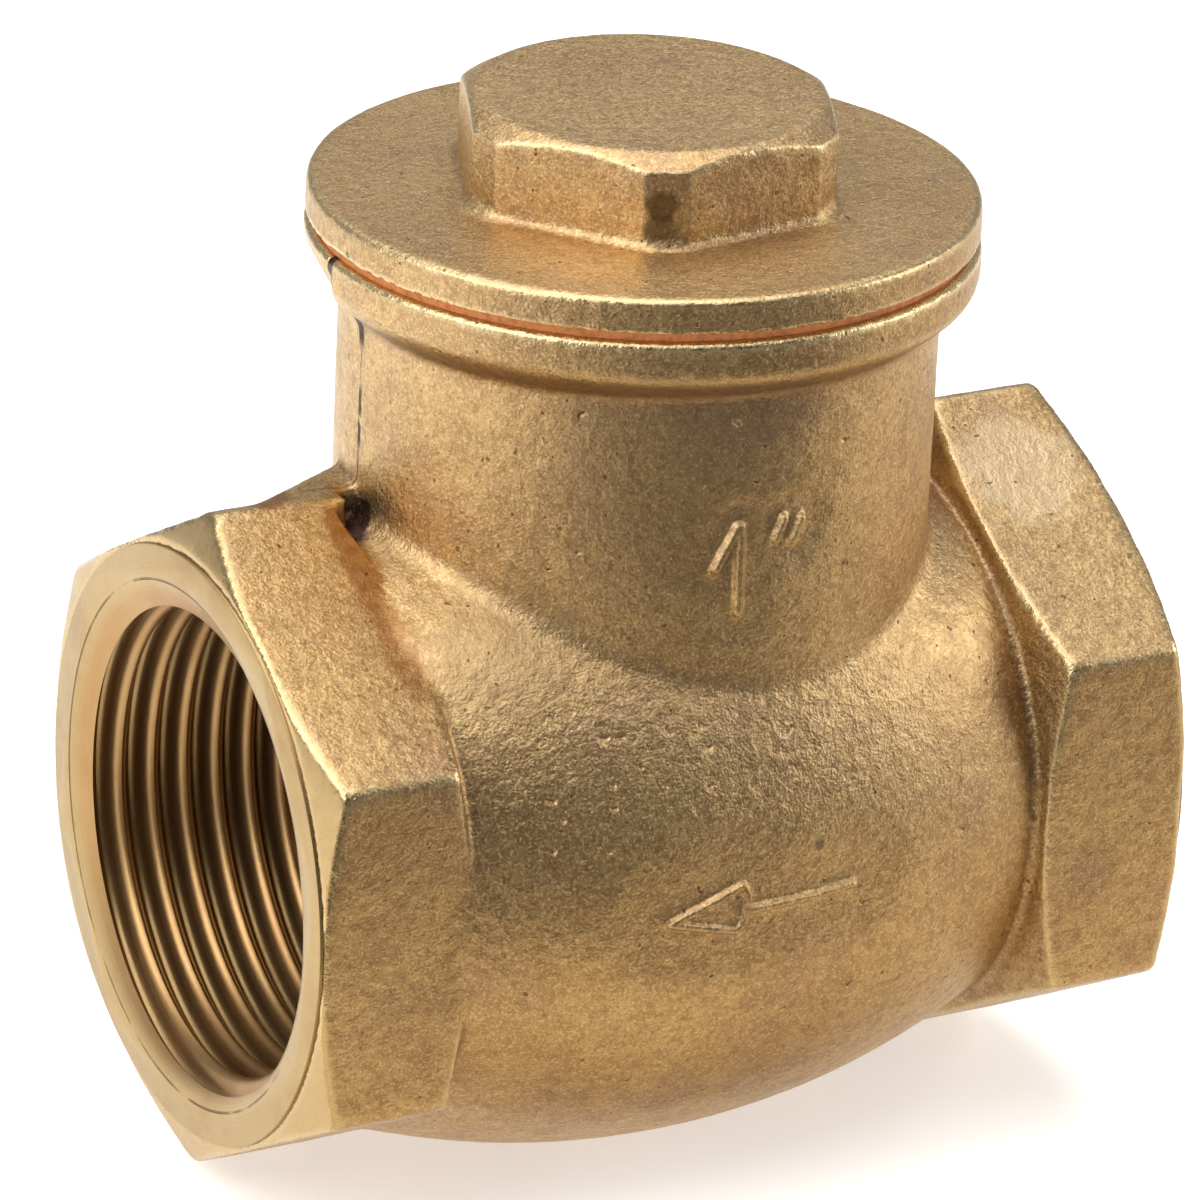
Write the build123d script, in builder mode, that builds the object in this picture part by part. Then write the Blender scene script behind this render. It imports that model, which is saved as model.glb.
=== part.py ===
from build123d import *
import os
from math import cos, radians, sin, sqrt, tan

# A 1 inch brass swing check valve, in millimetres.
# The flow axis is X and the neck points up along +Z. The origin is the centre of the
# inlet mouth, so the valve lies on the -X side of it and the flow runs towards -X.

# Ends
FACE_TO_FACE = 62.0         # inlet mouth to outlet mouth
PORT_THREAD_RADIUS = 16.62  # half the major diameter of a G1 thread
PORT_THREAD_LENGTH = 14.0
COUNTERSINK_WIDTH = 0.38    # radial, outside the thread at the mouth
COUNTERSINK_ANGLE = 30.0    # between the countersink and the end face
HEX_WALL = 2.98             # between the thread and the hexagon's flats
HEX_LENGTH = 10.4           # along the flow axis
HEX_EDGE_ROUND = 1.0        # cast rounding of the long edges
HEX_FACE_INSET = 0.2        # from the flats in to where the corner chamfers start
HEX_CHAMFER_ANGLE = 22.0    # between the corner chamfers and the faces

# Seat
SEAT_BORE_RADIUS = 12.5
SEAT_WALL = 2.2             # radial, of the raised ring
SEAT_LENGTH = 5.0           # of the raised ring, from the bridge wall to its face
BRIDGE_WALL = 3.0           # between the inlet thread and the chamber

# Hinge
PIN_RADIUS = 1.5
PIN_LENGTH = 24.0
PIN_ABOVE_DISC = 4.4        # from the disc's rim up to the pin's axis
PIN_BEHIND_SEAT = 1.0       # from the seat face towards the inlet
PIN_SLOT_CLEARANCE = 0.05
PIN_CHAMFER = 0.2
LEDGE_GAP = 15.0            # between the two ledges that carry the pin
LEDGE_LENGTH = 7.2          # along the flow axis
LEDGE_BELOW_PIN = 3.5       # from the pin's axis
LEDGE_ABOVE_PIN = 3.0
LEDGE_ROOT = 1.8            # how far the ledges run into the neck wall

# Belly
CHAMBER_ABOVE_PIN = 2.1     # from the pin's axis to the chamber's crown
BELLY_WALL = 2.4
BELLY_CROWN_SHIFT = 2.0     # from the neck axis towards the outlet
BELLY_INLET_DROP = 0.87     # of the barrel below the thread, at the middle of the inlet hexagon
BELLY_OUTLET_RISE = 1.28    # of the barrel above the thread, at the middle of the outlet hexagon

# Neck
NECK_HEIGHT = 37.7          # from the flow axis to the machined top
CAP_THREAD_RADIUS = 16.4
CAP_THREAD_LENGTH = 9.0
CAP_THREAD_DEPTH = 0.6
NECK_WALL = 2.65            # outside the cap's thread
NECK_BLEND = 1.4            # cast fillet between the neck and the belly
NECK_BORE_BELOW_PIN = 0.2   # from the pin's axis to the bottom of the neck's bore
COLLAR_WIDTH = 2.35         # of the collar round the top of the neck
BEAD_HEIGHT = 2.7           # the collar's front half: straight side with its lower rounding
BEAD_TAPER = 1.7            # height of the slope under it
BEAD_UNDER_ROUND = 1.7
CONE_EDGE = 0.8             # the collar's back half: straight side
CONE_HEIGHT = 4.2           # height of the slope under it
PARTING_TURN = -3.5         # of the mould's parting plane about the neck axis, at the collar
CREST_DROP = 0.1            # of the crest's flat top below the outlet hexagon's rounded corner
CREST_HALF_WIDTH = 0.8
CREST_START = 1.4           # from the outlet mouth
WEB_START = 4.6             # from the outlet mouth to where the crest widens into the web
WEB_FRONT = 1.0             # of the web's front face behind the flow axis
WEB_BACK = 4.8              # of its back face at the neck

# Cap
FLANGE_INSET = 0.1          # of the flange's edge from the collar's
FLANGE_THICKNESS = 2.2
FLANGE_EDGE_ROUND = 0.45
CAP_HEAD_FLATS = 23.0
CAP_HEAD_CORNER_RISE = 1.25  # of the turned corners above the flats
CAP_HEAD_TOP_INSET = 0.5    # from the flats in to where the top chamfer starts
CAP_HEAD_HEIGHT = 5.9
CAP_HEAD_TURN = -113.0      # of one corner about the neck axis
CAP_HEAD_CHAMFER_ANGLE = 30.0
CAP_HEAD_FOOT_ROUND = 0.5   # between the hexagon and the flange
CAP_THREAD_CLEARANCE = 0.06
CAP_THREAD_RELIEF = 1.0     # radial, of the plain skirt under the thread
CAP_SKIRT_THREAD = 8.0      # length of the threaded part
CAP_SKIRT_WALL = 2.8
CAP_SKIRT_CLEARANCE = 0.3   # above the pin ledges
CAP_CROWN = 3.0             # thickness over the hollow, flange included

# Cap gasket
GASKET_THICKNESS = 0.6
GASKET_INSET = 0.5          # of its edge from the flange's

# Clapper
SEAL_LAND = 1.3             # radial, of the seal outside the seat's bore
SEAL_HOLE_RADIUS = 5.0
SEAL_THICKNESS = 2.5
SEAL_PROUD = 0.3            # out of the disc's cup
SEAL_RIM_CLEARANCE = 0.05   # radial, inside the cup's rim
SEAL_HOLE_CLEARANCE = 0.1   # radial, round the boss in the cup
SEAL_SQUEEZE = 0.1          # from the boss's face to the plate
DISC_RIM = 0.55             # wall of the cup
DISC_FLOOR = 2.4
DISC_BACK_CHAMFER = 1.4
DISC_BOSS_WIDTH = 1.6       # radial, outside the stud
DISC_BOSS_HEIGHT = 0.5
STUD_RADIUS = 3.0
STUD_SHOULDER = 0.5         # radial, from the stud to its thread
STUD_END = 0.4              # thread that shows past the nut
EYE_WALL = 3.12             # radial, round the stud
EYE_THICKNESS = 3.0
RUNNING_CLEARANCE = 0.08    # radial, on the pin and on the stud
END_PLAY = 0.1              # axial, each side of the arm's eye
HUB_WALL = 1.22             # radial, round the pin
HUB_SIDE_PLAY = 0.3         # each side, between the hub and the ledges
HUB_RELIEF = 0.5            # radial, between the hub and the casting
ARM_WIDTH = 9.0
ARM_SHOULDER = 0.8          # from the disc's rim up to the bend in the arm's front
PLATE_RADIUS = 8.5
PLATE_THICKNESS = 1.0
PLATE_CHAMFER = 0.3
SCREW_RADIUS = 2.0
SCREW_HEAD_WIDTH = 1.6      # radial, outside the thread
SCREW_HEAD_HEIGHT = 2.2
SCREW_HEAD_ROUND = 0.6
SCREW_SLOT_WIDTH = 1.0
SCREW_SLOT_DEPTH = 1.1
SCREW_DEPTH = 4.4           # thread length in the disc
SCREW_HOLE_SPARE = 0.2      # past the screw's end
THREAD_PLAY = 0.03          # radial, between the small screw threads
WASHER_RADIUS = 5.0
WASHER_THICKNESS = 0.8
NUT_FLATS = 8.0
NUT_THICKNESS = 2.8

# Places that follow from the sizes above
NECK_X = -FACE_TO_FACE / 2
OUTLET_X = -FACE_TO_FACE
INLET_THREAD_END_X = -PORT_THREAD_LENGTH
OUTLET_THREAD_END_X = OUTLET_X + PORT_THREAD_LENGTH
BRIDGE_X = INLET_THREAD_END_X - BRIDGE_WALL
SEAT_X = BRIDGE_X - SEAT_LENGTH
PIN_X = SEAT_X + PIN_BEHIND_SEAT
SEAT_RADIUS = SEAT_BORE_RADIUS + SEAT_WALL
SEAL_RADIUS = SEAT_BORE_RADIUS + SEAL_LAND
DISC_RADIUS = SEAL_RADIUS + SEAL_RIM_CLEARANCE + DISC_RIM
DISC_BOSS_RADIUS = STUD_RADIUS + DISC_BOSS_WIDTH
STUD_THREAD_RADIUS = STUD_RADIUS - STUD_SHOULDER
EYE_RADIUS = STUD_RADIUS + RUNNING_CLEARANCE + EYE_WALL
HUB_RADIUS = PIN_RADIUS + RUNNING_CLEARANCE + HUB_WALL
SCREW_HEAD_RADIUS = SCREW_RADIUS + SCREW_HEAD_WIDTH
PIN_HEIGHT = DISC_RADIUS + PIN_ABOVE_DISC
LEDGE_BOTTOM = PIN_HEIGHT - LEDGE_BELOW_PIN
LEDGE_TOP = PIN_HEIGHT + LEDGE_ABOVE_PIN
BELLY_RADIUS = PIN_HEIGHT + CHAMBER_ABOVE_PIN + BELLY_WALL
BELLY_CROWN = (NECK_X - BELLY_CROWN_SHIFT, BELLY_RADIUS)
BELLY_INLET_END = (-HEX_LENGTH / 2, PORT_THREAD_RADIUS - BELLY_INLET_DROP)
BELLY_OUTLET_END = (OUTLET_X + HEX_LENGTH / 2, PORT_THREAD_RADIUS + BELLY_OUTLET_RISE)
NECK_FLOOR = PIN_HEIGHT - NECK_BORE_BELOW_PIN
NECK_BORE_RADIUS = CAP_THREAD_RADIUS - CAP_THREAD_DEPTH
NECK_RADIUS = CAP_THREAD_RADIUS + NECK_WALL
LEDGE_REACH = NECK_BORE_RADIUS + LEDGE_ROOT
COLLAR_RADIUS = NECK_RADIUS + COLLAR_WIDTH
FLANGE_RADIUS = COLLAR_RADIUS - FLANGE_INSET
GASKET_RADIUS = FLANGE_RADIUS - GASKET_INSET
CAP_SKIRT_RADIUS = CAP_THREAD_RADIUS - CAP_THREAD_RELIEF
CAP_HEAD_CORNER_RADIUS = CAP_HEAD_FLATS / 2 + CAP_HEAD_CORNER_RISE
CAP_HEAD_TOP_RADIUS = CAP_HEAD_FLATS / 2 - CAP_HEAD_TOP_INSET
HEX_FLATS = 2 * (PORT_THREAD_RADIUS + HEX_WALL)
HEX_FACE_RADIUS = HEX_FLATS / 2 - HEX_FACE_INSET
HEX_CORNER_RADIUS = HEX_FLATS / sqrt(3)
HEX_TOP = HEX_CORNER_RADIUS - HEX_EDGE_ROUND * (2 / sqrt(3) - 1)
HEX_CHAMFER_DEPTH = (HEX_CORNER_RADIUS - HEX_FACE_RADIUS) * tan(radians(HEX_CHAMFER_ANGLE))
COUNTERSINK_DEPTH = COUNTERSINK_WIDTH * tan(radians(COUNTERSINK_ANGLE))
FLANGE_BOTTOM = NECK_HEIGHT + GASKET_THICKNESS
HEAD_BASE = FLANGE_BOTTOM + FLANGE_THICKNESS
HEAD_TOP = HEAD_BASE + CAP_HEAD_HEIGHT
SKIRT_BOTTOM = LEDGE_TOP + CAP_SKIRT_CLEARANCE
CUP_FLOOR_X = SEAT_X - SEAL_THICKNESS
DISC_BACK_X = CUP_FLOOR_X - DISC_FLOOR
BOSS_X = DISC_BACK_X - DISC_BOSS_HEIGHT
EYE_FRONT_X = BOSS_X - END_PLAY
EYE_BACK_X = EYE_FRONT_X - EYE_THICKNESS
SHOULDER_X = EYE_BACK_X - END_PLAY
NUT_FRONT_X = SHOULDER_X - WASHER_THICKNESS
NUT_BACK_X = NUT_FRONT_X - NUT_THICKNESS
STUD_END_X = NUT_BACK_X - STUD_END
PLATE_FRONT_X = SEAT_X + PLATE_THICKNESS
BOSS_FACE_X = SEAT_X - SEAL_SQUEEZE
SCREW_BOTTOM_X = SEAT_X - SCREW_DEPTH - SCREW_HOLE_SPARE

NECK_AXIS = Axis((NECK_X, 0, 0), (0, 0, 1))
NECK_SECTION = Plane(origin=(NECK_X, 0, 0), x_dir=(1, 0, 0), z_dir=(0, -1, 0))
TOP_SECTION = Plane(origin=(NECK_X, 0, 0), x_dir=(1, 0, 0), z_dir=(0, 0, 1))
PARTING_SECTION = NECK_SECTION.rotated((0, 0, PARTING_TURN))


def across_flow(x):
    """Plane across the flow axis at x, with its local x along Y and its normal along +X."""
    return Plane.YZ.offset(x)


os.makedirs("parts", exist_ok=True)


# Arc of the barrel-shaped belly along the flow axis, in its section's own coordinates
with BuildLine():
    barrel = ThreePointArc(BELLY_OUTLET_END, BELLY_CROWN, BELLY_INLET_END)

# Ledges that carry the hinge pin, cast into the neck and kept inside its wall
with BuildPart() as pin_ledges:
    with BuildSketch(TOP_SECTION.offset(LEDGE_BOTTOM)):
        with Locations((PIN_X - NECK_X, 0)):
            Rectangle(LEDGE_LENGTH, 2 * LEDGE_REACH)
            Rectangle(LEDGE_LENGTH, LEDGE_GAP, mode=Mode.SUBTRACT)
        Circle(LEDGE_REACH, mode=Mode.INTERSECT)
    extrude(amount=LEDGE_TOP - LEDGE_BOTTOM)

# Hexagonal end about the flow axis, one corner up, its corners chamfered on both faces
with BuildPart() as hex_end:
    with BuildSketch(across_flow(-HEX_LENGTH / 2)):
        hexagon = RegularPolygon(HEX_FLATS / 2, 6, major_radius=False, rotation=30)
        fillet(hexagon.vertices(), radius=HEX_EDGE_ROUND)
    extrude(amount=HEX_LENGTH)
    for side in (-1, 1):
        with BuildSketch(Plane.XZ):
            with BuildLine():
                Polyline(
                    (side * HEX_LENGTH / 2, HEX_FACE_RADIUS),
                    (side * HEX_LENGTH / 2, HEX_CORNER_RADIUS),
                    (side * (HEX_LENGTH / 2 - HEX_CHAMFER_DEPTH), HEX_CORNER_RADIUS),
                    close=True,
                )
            make_face()
        revolve(axis=Axis.X, mode=Mode.SUBTRACT)

# Valve body: one casting, machined at the ports, the seat and the neck
with BuildPart() as valve_body:
    # Barrel-shaped belly about the flow axis
    with BuildSketch(Plane.XZ):
        with Locations(barrel.arc_center):
            Circle(barrel.radius)
        with Locations((NECK_X, 0)):
            Rectangle(
                FACE_TO_FACE - HEX_LENGTH,
                BELLY_RADIUS,
                align=(Align.CENTER, Align.MIN),
                mode=Mode.INTERSECT,
            )
    revolve(axis=Axis.X)
    # Neck, blended into the belly
    with BuildSketch(TOP_SECTION):
        Circle(NECK_RADIUS)
    extrude(amount=NECK_HEIGHT)
    fillet(valve_body.edges().filter_by(GeomType.BSPLINE), radius=NECK_BLEND)
    with Locations((-HEX_LENGTH / 2, 0), (OUTLET_X + HEX_LENGTH / 2, 0)):
        add(hex_end.part)
    # Crest along the outlet hexagon's top corner, widening into a web to the neck
    with BuildSketch(TOP_SECTION.offset(PORT_THREAD_RADIUS)):
        with BuildLine():
            Polyline(
                (-FACE_TO_FACE / 2 + CREST_START, -CREST_HALF_WIDTH),
                (-FACE_TO_FACE / 2 + HEX_LENGTH, -CREST_HALF_WIDTH),
                (-FACE_TO_FACE / 2 + HEX_LENGTH, WEB_FRONT),
                (-NECK_BORE_RADIUS, WEB_FRONT),
                (-NECK_BORE_RADIUS, WEB_BACK),
                (-NECK_RADIUS, WEB_BACK),
                (-FACE_TO_FACE / 2 + WEB_START, CREST_HALF_WIDTH),
                (-FACE_TO_FACE / 2 + CREST_START, CREST_HALF_WIDTH),
                close=True,
            )
        make_face()
    extrude(amount=HEX_TOP - CREST_DROP - PORT_THREAD_RADIUS)
    # Collar round the top of the neck: a rounded bead in front of the parting plane, a cone behind it
    with BuildSketch(PARTING_SECTION):
        with BuildLine():
            bead = Polyline(
                (-NECK_BORE_RADIUS, NECK_HEIGHT),
                (-COLLAR_RADIUS, NECK_HEIGHT),
                (-COLLAR_RADIUS, NECK_HEIGHT - BEAD_HEIGHT),
                (-NECK_RADIUS, NECK_HEIGHT - BEAD_HEIGHT - BEAD_TAPER),
                (-NECK_BORE_RADIUS, NECK_HEIGHT - BEAD_HEIGHT - BEAD_TAPER),
                close=True,
            )
        make_face()
        fillet(bead.vertices().sort_by(Axis.X)[:2].sort_by(Axis.Y)[0], radius=BEAD_UNDER_ROUND)
    revolve(axis=NECK_AXIS, revolution_arc=180)
    with BuildSketch(PARTING_SECTION):
        with BuildLine():
            Polyline(
                (NECK_BORE_RADIUS, NECK_HEIGHT),
                (COLLAR_RADIUS, NECK_HEIGHT),
                (COLLAR_RADIUS, NECK_HEIGHT - CONE_EDGE),
                (NECK_RADIUS, NECK_HEIGHT - CONE_EDGE - CONE_HEIGHT),
                (NECK_BORE_RADIUS, NECK_HEIGHT - CONE_EDGE - CONE_HEIGHT),
                close=True,
            )
        make_face()
    revolve(axis=NECK_AXIS, revolution_arc=180)
    # Chamber, with the raised seat ring left standing on the bridge wall
    with BuildSketch(Plane.XZ):
        with Locations(barrel.arc_center):
            Circle(barrel.radius - BELLY_WALL)
        with Locations((OUTLET_THREAD_END_X, 0)):
            Rectangle(
                BRIDGE_X - OUTLET_THREAD_END_X,
                BELLY_RADIUS,
                align=(Align.MIN, Align.MIN),
                mode=Mode.INTERSECT,
            )
        with Locations((SEAT_X, 0)):
            Rectangle(
                SEAT_LENGTH,
                SEAT_RADIUS,
                align=(Align.MIN, Align.MIN),
                mode=Mode.SUBTRACT,
            )
    revolve(axis=Axis.X, mode=Mode.SUBTRACT)
    with BuildSketch(TOP_SECTION.offset(NECK_FLOOR)):
        Circle(NECK_BORE_RADIUS)
    extrude(amount=NECK_HEIGHT - NECK_FLOOR, mode=Mode.SUBTRACT)
    with BuildSketch(TOP_SECTION.offset(NECK_HEIGHT - CAP_THREAD_LENGTH)):
        Circle(CAP_THREAD_RADIUS)
    extrude(amount=CAP_THREAD_LENGTH, mode=Mode.SUBTRACT)
    add(pin_ledges.part)
    with BuildSketch(Plane.XZ):
        with Locations((PIN_X, PIN_HEIGHT)):
            Circle(HUB_RADIUS + HUB_RELIEF)
    extrude(amount=LEDGE_GAP / 2, both=True, mode=Mode.SUBTRACT)
    # Ports and the seat's bore
    with BuildSketch(across_flow(0)):
        Circle(PORT_THREAD_RADIUS)
    extrude(amount=-PORT_THREAD_LENGTH, mode=Mode.SUBTRACT)
    with BuildSketch(across_flow(OUTLET_X)):
        Circle(PORT_THREAD_RADIUS)
    extrude(amount=PORT_THREAD_LENGTH, mode=Mode.SUBTRACT)
    with BuildSketch(across_flow(SEAT_X)):
        Circle(SEAT_BORE_RADIUS)
    extrude(amount=INLET_THREAD_END_X - SEAT_X, mode=Mode.SUBTRACT)
    for mouth_x, inward in ((0, -1), (OUTLET_X, 1)):
        with BuildSketch(Plane.XZ):
            with BuildLine():
                Polyline(
                    (mouth_x, 0),
                    (mouth_x, PORT_THREAD_RADIUS + COUNTERSINK_WIDTH),
                    (mouth_x + inward * COUNTERSINK_DEPTH, PORT_THREAD_RADIUS),
                    (mouth_x + inward * COUNTERSINK_DEPTH, 0),
                    close=True,
                )
            make_face()
        revolve(axis=Axis.X, mode=Mode.SUBTRACT)
    # Slots for the hinge pin, open at the top
    with BuildSketch(Plane.XZ):
        with Locations((PIN_X, PIN_HEIGHT)):
            Circle(PIN_RADIUS + PIN_SLOT_CLEARANCE)
            Rectangle(
                2 * (PIN_RADIUS + PIN_SLOT_CLEARANCE),
                LEDGE_TOP - PIN_HEIGHT,
                align=(Align.CENTER, Align.MIN),
            )
    extrude(amount=PIN_LENGTH / 2 + END_PLAY, both=True, mode=Mode.SUBTRACT)
valve_body.part.label = "valve_body"
export_step(valve_body.part, "parts/valve_body.step")

# Hinge pin: lies in the ledge slots, held down by the cap's skirt
with BuildPart() as hinge_pin:
    with BuildSketch(Plane.XZ):
        with Locations((PIN_X, PIN_HEIGHT)):
            Circle(PIN_RADIUS)
    extrude(amount=PIN_LENGTH / 2, both=True)
    chamfer(hinge_pin.edges(), length=PIN_CHAMFER)
hinge_pin.part.label = "hinge_pin"
export_step(hinge_pin.part, "parts/hinge_pin.step")

# Clapper arm: a casting with a hub on the pin and an eye round the disc's stud
with BuildPart() as clapper_arm:
    with BuildSketch(across_flow(EYE_FRONT_X)):
        Circle(EYE_RADIUS)
    extrude(amount=-EYE_THICKNESS)
    with BuildSketch(Plane.XZ):
        with BuildLine():
            Polyline(
                (EYE_BACK_X, 0),
                (EYE_FRONT_X, 0),
                (EYE_FRONT_X, DISC_RADIUS + ARM_SHOULDER),
                (PIN_X, PIN_HEIGHT - HUB_RADIUS),
                (PIN_X, PIN_HEIGHT),
                (EYE_BACK_X, DISC_RADIUS),
                close=True,
            )
        make_face()
    extrude(amount=ARM_WIDTH / 2, both=True)
    with BuildSketch(Plane.XZ):
        with Locations((PIN_X, PIN_HEIGHT)):
            Circle(HUB_RADIUS)
    extrude(amount=LEDGE_GAP / 2 - HUB_SIDE_PLAY, both=True)
    with BuildSketch(Plane.XZ):
        with Locations((PIN_X, PIN_HEIGHT)):
            Circle(PIN_RADIUS + RUNNING_CLEARANCE)
    extrude(amount=LEDGE_GAP, both=True, mode=Mode.SUBTRACT)
    with BuildSketch(across_flow(EYE_FRONT_X)):
        Circle(STUD_RADIUS + RUNNING_CLEARANCE)
    extrude(amount=-EYE_THICKNESS, mode=Mode.SUBTRACT)
clapper_arm.part.label = "clapper_arm"
export_step(clapper_arm.part, "parts/clapper_arm.step")

# Disc: a cup for the seal, with a shouldered stud behind it
with BuildPart() as valve_disc:
    with BuildSketch(Plane.XZ):
        with BuildLine():
            Polyline(
                (SCREW_BOTTOM_X, 0),
                (SCREW_BOTTOM_X, SCREW_RADIUS + THREAD_PLAY),
                (BOSS_FACE_X, SCREW_RADIUS + THREAD_PLAY),
                (BOSS_FACE_X, SEAL_HOLE_RADIUS - SEAL_HOLE_CLEARANCE),
                (CUP_FLOOR_X, SEAL_HOLE_RADIUS - SEAL_HOLE_CLEARANCE),
                (CUP_FLOOR_X, SEAL_RADIUS + SEAL_RIM_CLEARANCE),
                (SEAT_X - SEAL_PROUD, SEAL_RADIUS + SEAL_RIM_CLEARANCE),
                (SEAT_X - SEAL_PROUD, DISC_RADIUS),
                (DISC_BACK_X + DISC_BACK_CHAMFER, DISC_RADIUS),
                (DISC_BACK_X, DISC_RADIUS - DISC_BACK_CHAMFER),
                (DISC_BACK_X, DISC_BOSS_RADIUS),
                (BOSS_X, DISC_BOSS_RADIUS),
                (BOSS_X, STUD_RADIUS),
                (SHOULDER_X, STUD_RADIUS),
                (SHOULDER_X, STUD_THREAD_RADIUS),
                (STUD_END_X, STUD_THREAD_RADIUS),
                (STUD_END_X, 0),
                close=True,
            )
        make_face()
    revolve(axis=Axis.X)
valve_disc.part.label = "valve_disc"
export_step(valve_disc.part, "parts/valve_disc.step")

# Seal ring in the disc's cup
with BuildPart() as disc_seal:
    with BuildSketch(across_flow(CUP_FLOOR_X)):
        Circle(SEAL_RADIUS)
        Circle(SEAL_HOLE_RADIUS, mode=Mode.SUBTRACT)
    extrude(amount=SEAL_THICKNESS)
disc_seal.part.label = "disc_seal"
export_step(disc_seal.part, "parts/disc_seal.step")

# Plate that clamps the seal
with BuildPart() as seal_plate:
    with BuildSketch(across_flow(SEAT_X)):
        Circle(PLATE_RADIUS)
        Circle(SCREW_RADIUS + THREAD_PLAY, mode=Mode.SUBTRACT)
    extrude(amount=PLATE_THICKNESS)
    chamfer(seal_plate.faces().sort_by(Axis.X)[-1].outer_wire().edges(), length=PLATE_CHAMFER)
seal_plate.part.label = "seal_plate"
export_step(seal_plate.part, "parts/seal_plate.step")

# Slotted screw through the plate into the disc
with BuildPart() as seal_screw:
    with BuildSketch(across_flow(PLATE_FRONT_X)):
        Circle(SCREW_HEAD_RADIUS)
    extrude(amount=SCREW_HEAD_HEIGHT)
    fillet(seal_screw.edges().sort_by(Axis.X)[-1], radius=SCREW_HEAD_ROUND)
    with BuildSketch(across_flow(PLATE_FRONT_X)):
        Circle(SCREW_RADIUS)
    extrude(amount=-(PLATE_THICKNESS + SCREW_DEPTH))
    with BuildSketch(across_flow(PLATE_FRONT_X + SCREW_HEAD_HEIGHT)):
        Rectangle(2 * SCREW_HEAD_RADIUS, SCREW_SLOT_WIDTH)
    extrude(amount=-SCREW_SLOT_DEPTH, mode=Mode.SUBTRACT)
seal_screw.part.label = "seal_screw"
export_step(seal_screw.part, "parts/seal_screw.step")

# Washer against the stud's shoulder
with BuildPart() as disc_washer:
    with BuildSketch(across_flow(SHOULDER_X)):
        Circle(WASHER_RADIUS)
        Circle(STUD_THREAD_RADIUS + THREAD_PLAY, mode=Mode.SUBTRACT)
    extrude(amount=-WASHER_THICKNESS)
disc_washer.part.label = "disc_washer"
export_step(disc_washer.part, "parts/disc_washer.step")

# Nut on the stud
with BuildPart() as disc_nut:
    with BuildSketch(across_flow(NUT_FRONT_X)):
        RegularPolygon(NUT_FLATS / 2, 6, major_radius=False)
        Circle(STUD_THREAD_RADIUS + THREAD_PLAY, mode=Mode.SUBTRACT)
    extrude(amount=-NUT_THICKNESS)
disc_nut.part.label = "disc_nut"
export_step(disc_nut.part, "parts/disc_nut.step")

# Cap: hexagon head, flange and hollow threaded skirt in one piece
with BuildPart() as cap:
    with BuildSketch(TOP_SECTION.offset(FLANGE_BOTTOM)):
        Circle(FLANGE_RADIUS)
    extrude(amount=FLANGE_THICKNESS)
    fillet(cap.edges().sort_by(Axis.Z)[-1], radius=FLANGE_EDGE_ROUND)
    with BuildSketch(TOP_SECTION.offset(HEAD_BASE)):
        RegularPolygon(CAP_HEAD_FLATS / 2, 6, major_radius=False, rotation=CAP_HEAD_TURN)
        Circle(CAP_HEAD_CORNER_RADIUS, mode=Mode.INTERSECT)
    extrude(amount=CAP_HEAD_HEIGHT)
    flange_top = cap.faces().filter_by_position(Axis.Z, HEAD_BASE, HEAD_BASE)[0]
    fillet(flange_top.inner_wires()[0].edges(), radius=CAP_HEAD_FOOT_ROUND)
    with BuildSketch(NECK_SECTION):
        sharp_corner = CAP_HEAD_FLATS / sqrt(3)
        corner_drop = (sharp_corner - CAP_HEAD_TOP_RADIUS) * tan(radians(CAP_HEAD_CHAMFER_ANGLE))
        with BuildLine():
            Polyline(
                (CAP_HEAD_TOP_RADIUS, HEAD_TOP),
                (sharp_corner, HEAD_TOP),
                (sharp_corner, HEAD_TOP - corner_drop),
                close=True,
            )
        make_face()
    revolve(axis=NECK_AXIS, mode=Mode.SUBTRACT)
    with BuildSketch(TOP_SECTION.offset(FLANGE_BOTTOM)):
        Circle(CAP_THREAD_RADIUS - CAP_THREAD_CLEARANCE)
    extrude(amount=-CAP_SKIRT_THREAD)
    with BuildSketch(TOP_SECTION.offset(FLANGE_BOTTOM)):
        Circle(CAP_SKIRT_RADIUS)
    extrude(amount=SKIRT_BOTTOM - FLANGE_BOTTOM)
    with BuildSketch(TOP_SECTION.offset(SKIRT_BOTTOM)):
        Circle(CAP_SKIRT_RADIUS - CAP_SKIRT_WALL)
    extrude(amount=HEAD_BASE - CAP_CROWN - SKIRT_BOTTOM, mode=Mode.SUBTRACT)
cap.part.label = "cap"
export_step(cap.part, "parts/cap.step")

# Fibre gasket between the neck and the cap's flange
with BuildPart() as cap_gasket:
    with BuildSketch(TOP_SECTION.offset(NECK_HEIGHT)):
        Circle(GASKET_RADIUS)
        Circle(CAP_THREAD_RADIUS, mode=Mode.SUBTRACT)
    extrude(amount=GASKET_THICKNESS)
cap_gasket.part.label = "cap_gasket"
export_step(cap_gasket.part, "parts/cap_gasket.step")
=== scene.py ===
"""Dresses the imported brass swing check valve: casting skins, threads, marks, finishes and stage.

Lengths in this file are in millimetres, and are turned into Blender's metres where a piece is made.
The frame is the CAD frame: the flow axis is X, the neck points up along +Z, and the inlet mouth is
at x = 0.
"""

import logging
import math
from collections.abc import Callable, Iterable
from dataclasses import dataclass, field
from enum import Enum

import bpy
import numpy as np
from mathutils import Matrix, Vector


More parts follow.
